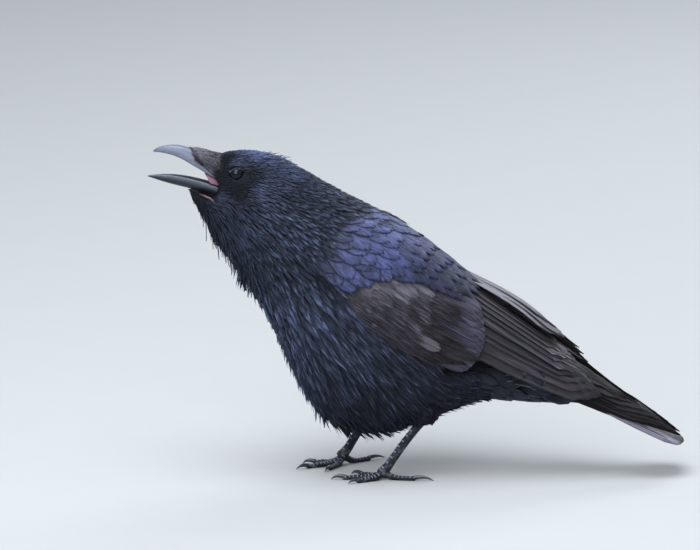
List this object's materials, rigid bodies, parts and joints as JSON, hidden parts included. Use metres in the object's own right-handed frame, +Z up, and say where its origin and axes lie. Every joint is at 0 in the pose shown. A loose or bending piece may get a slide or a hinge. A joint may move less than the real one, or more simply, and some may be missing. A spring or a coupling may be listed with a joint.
{
  "type": "carrion crow, life-size still model",
  "caption": "A black crow standing and calling: bill open, body leaning forward, wings folded and tail pointing down behind, as a still life-size model.",
  "frame": {"origin": "on the floor, under the middle of the bird's overall box", "axes": "+Z up; the bird looks along -X, its tail points along +X and its left side is -Y"},
  "size_m": [0.4199, 0.1174, 0.2615],
  "materials": {
    "plumage": "soft black contour feathers with a faint blue-grey sheen",
    "gloss_plumage": "black feathers with a violet-blue gloss and darker edges",
    "flight_feathers": "brownish black vanes with a soft satin sheen",
    "bill_horn": "slate grey horn, glossy along the cutting edges",
    "claw_horn": "dark grey horn",
    "mouth": "moist pink skin",
    "leg_scales": "dark grey scaly skin",
    "eye": "wet, nearly black brown eye"
  },
  "bodies": {
    "root": {"bill_upper": "bill_horn", "bill_lower": "bill_horn", "mouth_lining": "mouth", "tongue": "mouth", "head": "plumage", "eye_left": "eye", "eye_right": "eye", "neck": "plumage", "trunk": "plumage", "tail_feathers": "flight_feathers", "wing_left_scapulars": "gloss_plumage", "wing_left_coverts": "flight_feathers", "wing_left_secondaries": "flight_feathers", "wing_left_primaries": "flight_feathers", "shank_left": "leg_scales", "toe_left_middle": "leg_scales", "claw_left_middle": "claw_horn", "toe_left_inner": "leg_scales", "claw_left_inner": "claw_horn", "toe_left_outer": "leg_scales", "claw_left_outer": "claw_horn", "toe_left_hind": "leg_scales", "claw_left_hind": "claw_horn", "wing_right_scapulars": "gloss_plumage", "wing_right_coverts": "flight_feathers", "wing_right_secondaries": "flight_feathers", "wing_right_primaries": "flight_feathers", "shank_right": "leg_scales", "toe_right_middle": "leg_scales", "claw_right_middle": "claw_horn", "toe_right_inner": "leg_scales", "claw_right_inner": "claw_horn", "toe_right_outer": "leg_scales", "claw_right_outer": "claw_horn", "toe_right_hind": "leg_scales", "claw_right_hind": "claw_horn"}
  },
  "joints": []
}
